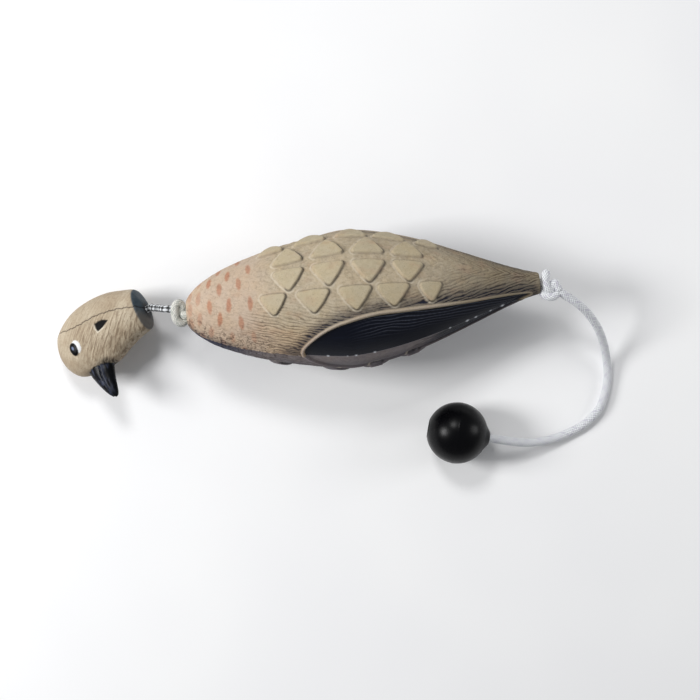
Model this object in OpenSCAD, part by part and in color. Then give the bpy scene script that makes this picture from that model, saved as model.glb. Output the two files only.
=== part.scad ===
// Dove-shaped retrieving dummy: a soft foam body in two mirrored halves, a hard plastic head
// that swings on a short cord, and a throw cord with a ball. It lies rolled on its side on
// the plane z = 0. X runs along the body from nose to tail, and the origin is on that plane
// under the body's fattest section.

/* [Body] */
// Length of the foam body from nose to tail tip
body_len = 215; // [205:1:225]
// Radius of the body at its fattest section, without the scale pads
body_r = 41.5; // [40:0.5:43]
// Radius of the tail tip
tail_r = 6.6; // [6:0.1:7]
// Share of the length that lies in front of the fattest section
nose_share = 0.451; // [0.44:0.001:0.46]
// How far the parting plane between the foam halves lies from the cord, towards the belly
part_drop = 3.2; // [0:0.1:4]
// Angle that the body lies rolled on its side
roll = 36; // [0:1:40]

/* [Scale pads] */
// Height of a scale pad above the skin
pad_h = 1.6; // [1:0.1:2.5]
// Width of a full scale pad along the body
pad_w = 19; // [15:0.5:20]
// Radius of a scale pad's rounded corners and edges
pad_round = 2; // [1.5:0.1:2.5]

/* [Wings] */
// Depth of the wing recess below the skin
wing_depth = 1.2; // [0.8:0.1:2]
// Height of the rim round the wing above the skin
rim_h = 0.9; // [0.5:0.1:1.5]
// Height of the same rim on the belly half
belly_rim_h = 0.4; // [0.2:0.1:0.9]
// Width of that rim
rim_w = 2.6; // [2:0.1:4]

/* [Head] */
// Wall of the hollow head
head_wall = 3; // [2.5:0.1:3.5]
// Angle that the crown lies lower than the neck
head_dip = 15; // [10:1:20]
// Plan direction in which the beak points
head_aim = -70.6; // [-75:0.2:-65]
// Angle that the beak points up off the ground
head_turn = 20; // [0:1:25]
// Angle that the seam between the head's halves leans back
seam_lean = 8; // [4:0.1:10]

/* [Cords] */
// Diameter of the body cord and throw cord
cord_d = 5.4; // [5:0.1:5.6]
// Diameter of the neck cord
neck_cord_d = 4.6; // [4:0.1:4.8]
// Inner diameter of the liner that the body cord runs in
liner_bore = 6.2; // [6:0.1:6.4]

/* [Throw ball] */
// Diameter of the ball
ball_d = 38; // [36:0.5:38]
// Diameter of the hole that the throw cord runs through
ball_bore = 6; // [6:0.1:6.5]
// Plan direction in which the cord leaves the ball
ball_heading = -14.4; // [-16:0.2:-12]

/* [Hidden] */

nose_x = -nose_share * body_len;
tail_x = body_len + nose_x;
axis_z = body_r + pad_h - 0.1;
gap = 0.3;

// The skin's outline: a blunt nose and a long fine tail
nose_reach = 1.8;
nose_bend = 1.3;
nose_power = 0.46;
tail_bend = 1.7;
tail_power = 1.36;
skin_steps = 34;
skin_sides = 60;

// The liner and its flanges
liner_wall = 0.9;
liner_r = liner_bore / 2 + liner_wall;
flange_r = 6.2;
flange_t = 1.4;
liner_end = tail_x - 6;

// Scale pads: [place along the body, share of the full width], for each of two rows a side
upper_row = [[-33, 0.95], [-9, 1], [15, 1], [38.5, 0.95]];
lower_row = [[-43, 0.8], [-19, 1], [6, 1], [28.5, 1], [51, 0.7]];
upper_span = [4, 24];
lower_span = [27, 46];

// The belly half's lower row lies further out, so its pads show past the wing's rim
belly_row = [[-43, 0.8], [-9, 1], [15, 1], [38.5, 0.95]];
belly_span = [36, 58];

// The wing's outline in side view, above the parting plane: [along, up]
wing_edge = [[-28, 0], [-19, 13], [-4, 21.5], [14, 24], [33, 21.5], [57, 16], [81, 9.5],
             [103, 3.5], [112, 0]];

// The head's outline: [height above the neck face, back, front, half width]
head_rings = [[-3.5, -2, 5, 3.4], [-2.9, -6, 8, 7], [-1.6, -10.5, 11.5, 10.8], [0, -13.6, 13.6, 13],
              [8, -16.6, 16, 13.6], [16, -19, 19.5, 14.2], [24, -19.9, 23.6, 14.7],
              [32, -19.6, 25.4, 15], [40, -18, 25.5, 14.9], [47, -15.2, 25, 13.5],
              [52.5, -11.4, 22.6, 11.4], [57.2, -7, 17, 7.8], [59.8, -1.5, 10.5, 3.2]];
hole_at = [1.5, 0, 0];
head_sides = 36;
neck_at = [-126, 5, 24.5];
mouth_up = 36.3;
beak_tip = [45.4, 33.2];
beak_tip_r = 2.1;
bore_r = neck_cord_d / 2 + gap;
throat_floor = 4;

// Joint centres: the neck cord bends at the nose knot and at the head's cord hole
knot_r = 4.5;
knot_half = 4.6;
neck_knot_at = [nose_x - knot_r - gap, 0.5, axis_z - 1];
tail_knot_at = [tail_x + 6.3, -1.8, axis_z];
neck_bend = [-109.2, 3.6, 39.8];
hole_reach = -6.4;
head_bend = neck_at + head_way(hole_at + [0, 0, hole_reach]);

// The throw cord's route from the tail knot to the ball, laid on the plane z = 0
cord_route = [[127, -4.5, 43], [132, -8, 42], [140, -14, 38.5], [147, -21, 32.5], [153, -30, 24],
              [157, -40, 14.5], [159, -51, 6.5], [159, -62, 3.2], [156, -73, 2.9], [151, -82, 2.9],
              [142, -89.5, 2.9], [132, -94, 3.1], [121, -97, 5], [107, -98, 9.5], [93, -95.5, 15.5],
              [81, -92.5, 18.9]];
ball_at = [61.5, -87.6, 19.1];
knot_recess_r = 5.4;
recess_floor = -6;
ball_knot_r = 4.8;
ball_knot_at = recess_floor - gap - ball_knot_r;

foam_tan = [0.78, 0.71, 0.58];
foam_grey = [0.50, 0.47, 0.48];
head_tan = [0.74, 0.66, 0.54];
rope_white = [0.92, 0.92, 0.93];

// A head direction, given as [forward, left, up], in the object's frame
function turn_x(v, a) = [v.x, v.y * cos(a) - v.z * sin(a), v.y * sin(a) + v.z * cos(a)];
function turn_z(v, a) = [v.x * cos(a) - v.y * sin(a), v.x * sin(a) + v.y * cos(a), v.z];
function head_way(v) = turn_z(turn_x(turn_z(v, head_turn), 90 + head_dip), head_aim);

// Skin radius at x, with the skin moved out by grow
function skin(x, grow = 0) = grow + (x < 0
    ? body_r * pow(1 - pow(-x / (nose_reach - nose_x), nose_bend), nose_power)
    : tail_r + (body_r - tail_r) * pow(1 - pow(min(x / tail_x, 1), tail_bend), tail_power));

function unit(v) = v / norm(v);
function ring_way(p, i) = unit(p[min(i + 1, len(p) - 1)] - p[max(i - 1, 0)]);

// A tube of round section swept along the points p
module tube(p, r, sides) {
    points = [for (i = [0 : len(p) - 1])
        let (t = ring_way(p, i), s = unit(cross([0, 0, 1], t)), u = cross(t, s))
        for (k = [0 : sides - 1])
            p[i] + r * (cos(360 * k / sides) * s + sin(360 * k / sides) * u)];
    skin_of_rings(points, len(p), sides);
}

// Closes a stack of rings of points into a solid
module skin_of_rings(points, rings, sides) {
    walls = [for (i = [0 : rings - 2], k = [0 : sides - 1])
        let (a = i * sides + k, b = i * sides + (k + 1) % sides)
        each [[a, a + sides, b], [b, a + sides, b + sides]]];
    first = [for (k = [0 : sides - 1]) k];
    last = [for (k = [sides - 1 : -1 : 0]) (rings - 1) * sides + k];
    polyhedron(points, concat([first], walls, [last]), convexity = 4);
}

// The foam's skin as a solid of revolution along X, moved out by grow
module skin_solid(grow) {
    stations = [for (i = [0 : skin_steps])
        let (s = (1 - cos(180 * i / skin_steps)) / 2) nose_x + s * body_len];
    rotate([0, 90, 0])
        rotate_extrude($fn = skin_sides)
            polygon(concat([[0, nose_x]], [for (x = stations) [skin(x, grow), x]], [[0, tail_x]]));
}

// A point on the skin at x, turned by phi from the ridge, at a height above the skin
function on_skin(x, phi, up) = [x, -(skin(x) + up) * sin(phi), (skin(x) + up) * cos(phi)];

// One raised pad: a flat edge towards the ridge and a rounded tip away from it
module scale_pad(x, width, span) {
    sink = pad_h - pad_round;
    half = width / 2 - pad_round;
    inset = 2.5;
    hull() {
        for (s = [-1, 1])
            translate(on_skin(x + s * half, span[0] + inset, sink)) sphere(pad_round, $fn = 12);
        translate(on_skin(x, span[1] - inset, sink)) sphere(pad_round, $fn = 12);
        translate(on_skin(x, (2 * span[0] + span[1]) / 3, sink)) sphere(pad_round, $fn = 12);
    }
}

module wing_slab(grow) {
    lower = [for (i = [len(wing_edge) - 2 : -1 : 1]) [wing_edge[i].x, -wing_edge[i].y]];
    rotate([90, 0, 0])
        linear_extrude(2 * body_r + 10, center = true)
            offset(r = grow) polygon(concat(wing_edge, lower));
}

// One foam half above the parting plane, which lies a drop below the cord, with the liner's channel
module foam_half(low_row, low_span, rim, drop) {
    difference() {
        union() {
            skin_solid(0);
            intersection() {
                skin_solid(rim);
                wing_slab(rim_w);
            }
            for (side = [0, 1]) mirror([0, side, 0]) {
                for (p = upper_row) scale_pad(p[0], pad_w * p[1], upper_span);
                for (p = low_row) scale_pad(p[0], pad_w * p[1], low_span);
            }
        }
        difference() {
            wing_slab(0);
            skin_solid(-wing_depth);
        }
        translate([0, 0, -drop - body_r - 5])
            cube([2 * body_len, 4 * body_r, 2 * body_r + 10], true);
        liner_shape(liner_r + 0.05, flange_r + 0.1, 0.05);
        translate([liner_end - 1, 0, 0]) rotate([0, 90, 0]) cylinder(20, r = cord_d / 2 + gap, $fn = 32);
    }
}

// The liner's outside: a tube with a flange at each end
module liner_shape(r, flange, ease) {
    start = nose_x + 0.4;
    translate([start - ease, 0, 0]) rotate([0, 90, 0]) {
        cylinder(liner_end - start + 2 * ease, r = r, $fn = 48);
        cylinder(flange_t + 2 * ease, r = flange, $fn = 48);
    }
}

module lay_body() {
    translate([0, 0, axis_z]) rotate([-roll, 0, 0]) children();
}

module back_shell() {
    color(foam_tan) lay_body() foam_half(lower_row, lower_span, rim_h, part_drop);
}

module belly_shell() {
    color(foam_grey) lay_body() mirror([0, 0, 1])
        foam_half(belly_row, belly_span, belly_rim_h, -part_drop);
}

module core_tube() {
    color("white") lay_body() difference() {
        liner_shape(liner_r, flange_r, 0);
        translate([nose_x - 1, 0, 0]) rotate([0, 90, 0])
            cylinder(body_len + 2, r = liner_bore / 2, $fn = 48);
    }
}

module body_cord() {
    color(rope_white) translate([nose_x + 0.2, 0, axis_z]) rotate([0, 90, 0])
        cylinder(body_len + 1.8, r = cord_d / 2, $fn = 32);
}

// An overhand knot's outer shape, wider across the cord than along it
module knot_lump(r, half) {
    hull() for (s = [-1, 1]) translate([0, s * half, 0]) sphere(r, $fn = 20);
}

module neck_knot() {
    color(rope_white) translate(neck_knot_at) knot_lump(knot_r, knot_half);
}

module tail_knot() {
    color(rope_white) translate(tail_knot_at) knot_lump(knot_r + 0.8, knot_half);
}

module neck_cord() {
    color([0.6, 0.6, 0.6]) hull() for (p = [neck_bend, head_bend])
        translate(p) sphere(neck_cord_d / 2, $fn = 20);
}

// A ring of the head's outline, moved in by wall
function head_ring(row, wall) = [for (k = [0 : head_sides - 1])
    let (a = 360 * k / head_sides, mid = (row[1] + row[2]) / 2, half = (row[2] - row[1]) / 2 - wall)
        [mid + half * cos(a), (row[3] - wall) * sin(a), row[0]]];

module head_loft(rows, wall) {
    points = [for (row = rows) each head_ring(row, wall)];
    skin_of_rings(points, len(rows), head_sides);
}

module head_hollow() {
    inner = [for (row = head_rings) if (row[0] > throat_floor && row[0] < 54) row];
    floor_row = concat([throat_floor], [for (i = [1 : 3]) inner[0][i]]);
    head_loft(concat([floor_row], inner), head_wall);
}

module beak() {
    hull() {
        translate([20, 0, mouth_up]) scale([1, 0.75, 1]) sphere(8, $fn = 24);
        translate([33, 0, mouth_up - 0.8]) scale([1, 0.75, 1]) sphere(5.6, $fn = 20);
        translate([beak_tip[0] - beak_tip_r, 0, beak_tip[1]]) sphere(beak_tip_r, $fn = 16);
    }
}

// Everything in front of the seam, or behind it
module seam_side(front) {
    reach = 80;
    translate(hole_at) rotate([0, -seam_lean, 0])
        translate([front ? 0 : -reach, -reach / 2, -reach / 2])
            cube([reach, reach, 2 * reach]);
}

module head_half(front) {
    difference() {
        intersection() {
            union() {
                head_loft(head_rings, 0);
                beak();
            }
            seam_side(front);
        }
        head_hollow();
        translate(hole_at + [0, 0, -10]) cylinder(20, r = bore_r, $fn = 48);
    }
}

module place_head() {
    translate(neck_at) rotate([90 + head_dip, 0, head_aim]) rotate([0, 0, head_turn]) children();
}

module head_front() {
    color(head_tan) place_head() head_half(true);
}

module head_back() {
    color(head_tan) place_head() head_half(false);
}

module head_knot() {
    stub_r = neck_cord_d / 2;
    color(rope_white) place_head() {
        translate(hole_at + [0, 0, hole_reach + stub_r + gap]) cylinder(12, r = stub_r, $fn = 32);
        translate(hole_at + [0, 0, throat_floor + gap + knot_r]) sphere(knot_r, $fn = 32);
    }
}

// The ball's own frame: X runs along its bore, towards the side where the cord leaves
module lay_ball() {
    translate(ball_at) rotate([0, 0, ball_heading]) children();
}

module throw_ball() {
    r = ball_d / 2;
    color([0.03, 0.03, 0.04]) lay_ball() rotate([0, 90, 0]) rotate_extrude($fn = 96) difference() {
        circle(r, $fn = 96);
        translate([ball_bore / 2 - 2 * r, -r]) square(2 * r);
        translate([0, recess_floor - 2 * r]) square([knot_recess_r, 2 * r]);
    }
}

module tail_cord() {
    along = [cos(ball_heading), sin(ball_heading), 0];
    inside = [for (d = [ball_d / 2, 5, ball_knot_at + 2]) ball_at + d * along];
    color(rope_white) tube(concat(cord_route, inside), cord_d / 2, 10);
}

module ball_knot() {
    color(rope_white) lay_ball() translate([ball_knot_at, 0, 0]) sphere(ball_knot_r, $fn = 32);
}

back_shell();
belly_shell();
core_tube();
body_cord();
neck_knot();
tail_knot();
tail_cord();
neck_cord();
head_front();
head_back();
head_knot();
throw_ball();
ball_knot();
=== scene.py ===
"""The looks of a dove-shaped retrieving dummy, built round its CAD frame. All sizes are in metres."""
import math

import bmesh
import bpy
import numpy as np
from mathutils import Matrix, Vector


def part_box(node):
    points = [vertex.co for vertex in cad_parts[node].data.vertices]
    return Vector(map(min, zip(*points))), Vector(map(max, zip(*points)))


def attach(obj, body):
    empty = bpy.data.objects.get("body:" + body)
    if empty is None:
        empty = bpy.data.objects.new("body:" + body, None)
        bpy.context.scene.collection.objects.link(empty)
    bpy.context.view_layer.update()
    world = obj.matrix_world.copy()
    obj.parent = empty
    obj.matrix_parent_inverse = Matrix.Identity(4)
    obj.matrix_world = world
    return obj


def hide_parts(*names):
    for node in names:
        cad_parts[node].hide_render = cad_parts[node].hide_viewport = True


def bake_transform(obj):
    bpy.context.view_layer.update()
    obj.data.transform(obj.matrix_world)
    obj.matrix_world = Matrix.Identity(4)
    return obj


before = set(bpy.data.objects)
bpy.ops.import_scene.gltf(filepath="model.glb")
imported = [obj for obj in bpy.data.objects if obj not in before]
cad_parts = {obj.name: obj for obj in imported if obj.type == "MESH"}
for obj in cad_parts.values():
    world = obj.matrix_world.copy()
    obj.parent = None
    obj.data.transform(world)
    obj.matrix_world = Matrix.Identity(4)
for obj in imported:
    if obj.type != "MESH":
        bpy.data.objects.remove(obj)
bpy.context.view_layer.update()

# ---------------------------------------------------------------- sizes shared with the CAD model
SHELL_LOW, SHELL_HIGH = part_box("back_shell")
NOSE_X, TAIL_X = SHELL_LOW[0], SHELL_HIGH[0]
LINER_LOW, LINER_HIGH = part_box("core_tube")
AXIS_Z = (LINER_LOW[2] + LINER_HIGH[2]) / 2
ROLL = math.radians(36)
BODY_R = 0.0415
TAIL_R = 0.0066
# How full the outline is: the nose reaches past its end, and each end has a bend and a power
NOSE_REACH = 0.0018
NOSE_BEND, NOSE_POWER = 1.3, 0.46
TAIL_BEND, TAIL_POWER = 1.7, 1.36
PAD_WIDTH = 0.019
PAD_HEIGHT = 0.0016
PAD_ROUND = 0.002
UPPER_PADS = [(-0.033, 0.95), (-0.009, 1), (0.015, 1), (0.0385, 0.95)]
LOWER_PADS = [(-0.043, 0.8), (-0.019, 1), (0.006, 1), (0.0285, 1), (0.051, 0.7)]
UPPER_SPAN = (4, 24)
LOWER_SPAN = (27, 46)
BELLY_PADS = [(-0.043, 0.8), (-0.009, 1), (0.015, 1), (0.0385, 0.95)]
BELLY_SPAN = (36, 58)
WING_EDGE = [(-0.028, 0), (-0.019, 0.013), (-0.004, 0.0215), (0.014, 0.024), (0.033, 0.0215),
             (0.057, 0.016), (0.081, 0.0095), (0.103, 0.0035), (0.112, 0)]
WING_DEPTH = 0.0012
RIM_HEIGHT = 0.0009
BELLY_RIM_HEIGHT = 0.0004
# Width of the wing's rim, and how much narrower it is at the tail
RIM_WIDTH = 0.0016
RIM_TAPER = 0.0005
# The channel in the foam: its radii from nose to tail, and how far from the ends they change
FLANGE_R = 0.0063
LINER_R = 0.0041
TAIL_BORE_R = 0.003
FLANGE_DEPTH = 0.00185
TAIL_PLUG = 0.006
# How far the parting plane between the foam halves lies from the cord, towards the belly
PART_DROP = 0.0032

# Gaps between the moulded lines of the body and of the wing
GROOVE_GAP = 0.0020
BARB_GAP = 0.0019
# Depths of the moulded grooves, and heights of what stands out
GROOVE_DEPTH = 0.00075
CRACKLE_DEPTH = 0.00034
WEAR_DEPTH = 0.00022
BARB_DEPTH = 0.00028
LUMP_HEIGHT = 0.00036
FLASH_HEIGHT = 0.00012
BEAD_HEIGHT = 0.0003
TAIL_ROUND = 0.0016
# Beads of glue on the parting line: place along the body, and radius
GLUE_BEADS = [(-0.0135, 0.0006), (-0.002, 0.0003), (0.0033, 0.0006), (0.0146, 0.0006), (0.061, 0.0005),
              (0.0718, 0.0008), (0.0772, 0.0007), (0.0865, 0.0006), (0.094, 0.0009)]

CORD_D = 0.0054
NECK_CORD_D = 0.0046
CORD_ROUTE = [(0.127, -0.0045, 0.043), (0.132, -0.008, 0.042), (0.140, -0.014, 0.0385),
              (0.147, -0.021, 0.0325), (0.153, -0.030, 0.024), (0.157, -0.040, 0.0145),
              (0.159, -0.051, 0.0065), (0.159, -0.062, 0.0032), (0.156, -0.073, 0.0029),
              (0.151, -0.082, 0.0029), (0.142, -0.0895, 0.0029), (0.132, -0.094, 0.0031),
              (0.121, -0.097, 0.005), (0.107, -0.098, 0.0095), (0.093, -0.0955, 0.0155),
              (0.081, -0.0925, 0.0189)]
# Strands that run each way round a braid, and the numbers of those in the darker yarn
WHITE_BRAID = (10, (1, 6, 12, 17))
FLECKED_BRAID = (5, (5, 6, 7, 8, 9))

BALL_LOW, BALL_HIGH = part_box("throw_ball")
BALL_AT = (Vector(BALL_LOW) + Vector(BALL_HIGH)) / 2
BALL_R = (BALL_HIGH[2] - BALL_LOW[2]) / 2
BALL_HEADING = math.radians(-14.4)
BALL_BORE_R = 0.003
RECESS_R = 0.0054
RECESS_FLOOR = -0.006
BALL_KNOT_AT = -0.0111

NECK_AT = Vector((-0.126, 0.005, 0.0245))
HEAD_DIP = math.radians(15)
HEAD_AIM = math.radians(-70.6)
HEAD_TURN = math.radians(20)
HOLE_AT = 0.0015
HOLE_PLAY = 0.0003
HOLE_ENDS = (-0.010, 0.010)
HEAD_WALL = 0.003
# Height above the neck face, back, front and half width of the head at that height
HEAD_RINGS = [(-0.0035, -0.002, 0.005, 0.0034), (-0.0029, -0.006, 0.008, 0.007),
              (-0.0016, -0.0105, 0.0115, 0.0108), (0, -0.0136, 0.0136, 0.013),
              (0.008, -0.0166, 0.016, 0.0136), (0.016, -0.019, 0.0195, 0.0142),
              (0.024, -0.0199, 0.0236, 0.0147), (0.032, -0.0196, 0.0254, 0.015),
              (0.040, -0.018, 0.0255, 0.0149), (0.047, -0.0152, 0.025, 0.0135),
              (0.0525, -0.0114, 0.0226, 0.0114), (0.0572, -0.007, 0.017, 0.0078),
              (0.0598, -0.0015, 0.0105, 0.0032)]
HEAD_TOP = (0.0604, 0.0022, 0.0070, 0.0012)
# The seam between the head's halves: forward and up
SEAM_LINE = [(0.0022, -0.010), (0.0019, -0.004), (0.0010, 0.0013), (-0.0017, 0.0113), (-0.0032, 0.0234),
             (-0.0029, 0.0312), (-0.0023, 0.0372), (-0.0030, 0.0457), (-0.0076, 0.058), (-0.0110, 0.066)]
# Painted eye, forward and up: centre and half sizes of the pupil, the white and the glint
PUPIL = ((0.0106, 0.0451), (0.0043, 0.0029))
EYE_WHITE = ((0.0098, 0.0430), (0.0042, 0.0030))
GLINT = ((0.0100, 0.0455), (0.0013, 0.0008))
EAR_OUTLINE = [(0.0015, 0.0270), (0.0008, 0.0244), (0.0009, 0.0212), (0.0028, 0.0173),
               (0.0058, 0.0222), (0.0072, 0.0262), (0.0048, 0.0270)]
MOUTH_LINE = [(0.024, 0.0352), (0.0274, 0.0356), (0.0319, 0.0361), (0.038, 0.0352), (0.046, 0.0335)]
# Along the beak: forward, up, half width and half height
BEAK_RINGS = [(0.016, 0.0364, 0.0062, 0.0086), (0.021, 0.0365, 0.0061, 0.0086),
              (0.027, 0.0364, 0.0056, 0.0077), (0.031, 0.0360, 0.0049, 0.0066),
              (0.036, 0.0351, 0.0039, 0.0052), (0.041, 0.0339, 0.0028, 0.0036),
              (0.044, 0.0331, 0.0017, 0.0021), (0.0452, 0.0328, 0.0007, 0.0009)]
# Half width of the head's painted seam and moulded crease
SEAM_HALF = 0.00028
NECK_BEND = Vector((-0.1092, 0.0036, 0.0398))

BODY_PLACE = Matrix.Translation((0, 0, AXIS_Z)) @ Matrix.Rotation(-ROLL, 4, "X")
HEAD_PLACE = (Matrix.Translation(NECK_AT) @ Matrix.Rotation(HEAD_AIM, 4, "Z")
              @ Matrix.Rotation(math.pi / 2 + HEAD_DIP, 4, "X") @ Matrix.Rotation(HEAD_TURN, 4, "Z"))
BALL_PLACE = Matrix.Translation(BALL_AT) @ Matrix.Rotation(BALL_HEADING, 4, "Z")

CAMERA_AT = (-0.0002, -0.0308, 1.343)
CAMERA_TURN = math.radians(-4.9)


# ---------------------------------------------------------------- small tools
def srgb(red, green, blue):
    """A colour given from 0 to 255, as the linear RGBA that shaders take."""
    def linear(c):
        c = c / 255
        return c / 12.92 if c <= 0.04045 else ((c + 0.055) / 1.055) ** 2.4
    return (linear(red), linear(green), linear(blue), 1)


def step(low, high, value):
    """Rises smoothly from 0 at low to 1 at high."""
    t = np.clip((value - low) / (high - low), 0, 1)
    return t * t * (3 - 2 * t)


def scatter(i, j, seed):
    """A repeatable number from 0 to 1 for each whole-number place."""
    n = np.sin(i * 127.1 + j * 311.7 + seed * 74.7) * 43758.5453
    return n - np.floor(n)


def value_noise(u, v, seed):
    """Smooth noise from 0 to 1 over two coordinates."""
    i, j = np.floor(u), np.floor(v)
    s, t = step(0, 1, u - i), step(0, 1, v - j)
    low = scatter(i, j, seed) * (1 - s) + scatter(i + 1, j, seed) * s
    high = scatter(i, j + 1, seed) * (1 - s) + scatter(i + 1, j + 1, seed) * s
    return low * (1 - t) + high * t


def smooth_line(points, per_span, closed=False):
    """A Catmull-Rom curve through the points."""
    p = np.asarray(points, float)
    count = len(p)
    spans = count if closed else count - 1
    out = []
    for i in range(spans):
        if closed:
            a, b, c, d = p[i - 1], p[i], p[(i + 1) % count], p[(i + 2) % count]
        else:
            a, b, c, d = p[max(i - 1, 0)], p[i], p[i + 1], p[min(i + 2, count - 1)]
        for k in range(per_span):
            t = k / per_span
            out.append(0.5 * (2 * b + (c - a) * t + (2 * a - 5 * b + 4 * c - d) * t ** 2
                              + (3 * b - a - 3 * c + d) * t ** 3))
    if not closed:
        out.append(p[-1])
    return np.array(out)


def even_line(points, gap):
    """The same line with its points an equal gap apart."""
    lengths = np.concatenate([[0], np.cumsum(np.linalg.norm(np.diff(points, axis=0), axis=1))])
    at = np.linspace(0, lengths[-1], max(2, int(round(lengths[-1] / gap)) + 1))
    return np.stack([np.interp(at, lengths, points[:, k]) for k in range(points.shape[1])], axis=1)


def outline_distance(u, v, outline):
    """Distance to a closed outline, negative inside it."""
    best = np.full(u.shape, 1e9)
    inside = np.zeros(u.shape, bool)
    for (au, av), (bu, bv) in zip(outline, np.roll(outline, -1, axis=0)):
        eu, ev = bu - au, bv - av
        t = np.clip(((u - au) * eu + (v - av) * ev) / (eu * eu + ev * ev), 0, 1)
        best = np.minimum(best, (u - au - t * eu) ** 2 + (v - av - t * ev) ** 2)
        rise = bv - av if bv != av else 1
        inside ^= ((av > v) != (bv > v)) & (u < eu * (v - av) / rise + au)
    return np.where(inside, -1, 1) * np.sqrt(best)


def add_piece(name, points, faces, material, place=None, crease=60):
    """A smooth-shaded mesh object, with its edges sharper than crease degrees kept sharp."""
    mesh = bpy.data.meshes.new(name)
    mesh.from_pydata([tuple(p) for p in np.asarray(points, float)], [], faces)
    piece = bpy.data.objects.new(name, mesh)
    bpy.context.scene.collection.objects.link(piece)
    if material is not None:
        mesh.materials.append(material)
    finish_shading(piece, crease)
    if place is not None:
        settle(piece, place)
    return piece


def settle(piece, place):
    """Moves the mesh to its place, and keeps each point's place on the piece for the material."""
    set_vectors(piece, "local", mesh_points(piece))
    piece.data.transform(place)


def finish_shading(piece, crease):
    """Points the faces outwards and smooths them up to the crease angle."""
    bm = bmesh.new()
    bm.from_mesh(piece.data)
    bmesh.ops.recalc_face_normals(bm, faces=bm.faces)
    bm.to_mesh(piece.data)
    bm.free()
    piece.data.shade_smooth()
    piece.data.set_sharp_from_angle(angle=math.radians(crease))


def set_mask(piece, name, values):
    """Stores one number for each point of the mesh, for the material to read."""
    layer = piece.data.attributes.new(name, "FLOAT", "POINT")
    layer.data.foreach_set("value", np.asarray(values, np.float32).ravel())


def set_vectors(piece, name, values):
    """Stores one vector for each point of the mesh, for the material to read."""
    layer = piece.data.attributes.new(name, "FLOAT_VECTOR", "POINT")
    layer.data.foreach_set("vector", np.asarray(values, np.float32).ravel())


def mesh_points(piece):
    """The mesh's points, one row each."""
    points = np.empty(len(piece.data.vertices) * 3)
    piece.data.vertices.foreach_get("co", points)
    return points.reshape(-1, 3)


def bake_modifiers(piece):
    """Applies the piece's modifiers to its mesh."""
    depsgraph = bpy.context.evaluated_depsgraph_get()
    mesh = bpy.data.meshes.new_from_object(piece.evaluated_get(depsgraph))
    piece.modifiers.clear()
    old = piece.data
    piece.data = mesh
    bpy.data.meshes.remove(old)


def circle(sides):
    """The cosine and sine of so many equal steps round a circle."""
    return [(math.cos(2 * math.pi * k / sides), math.sin(2 * math.pi * k / sides)) for k in range(sides)]


def ring_faces(rings, sides):
    """Quads between closed rings of points, and a face over each end."""
    faces = []
    for i in range(rings - 1):
        for k in range(sides):
            a, b = i * sides + k, i * sides + (k + 1) % sides
            faces.append((a, b, b + sides, a + sides))
    faces.append(tuple(range(sides - 1, -1, -1)))
    faces.append(tuple(range((rings - 1) * sides, rings * sides)))
    return faces


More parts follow.
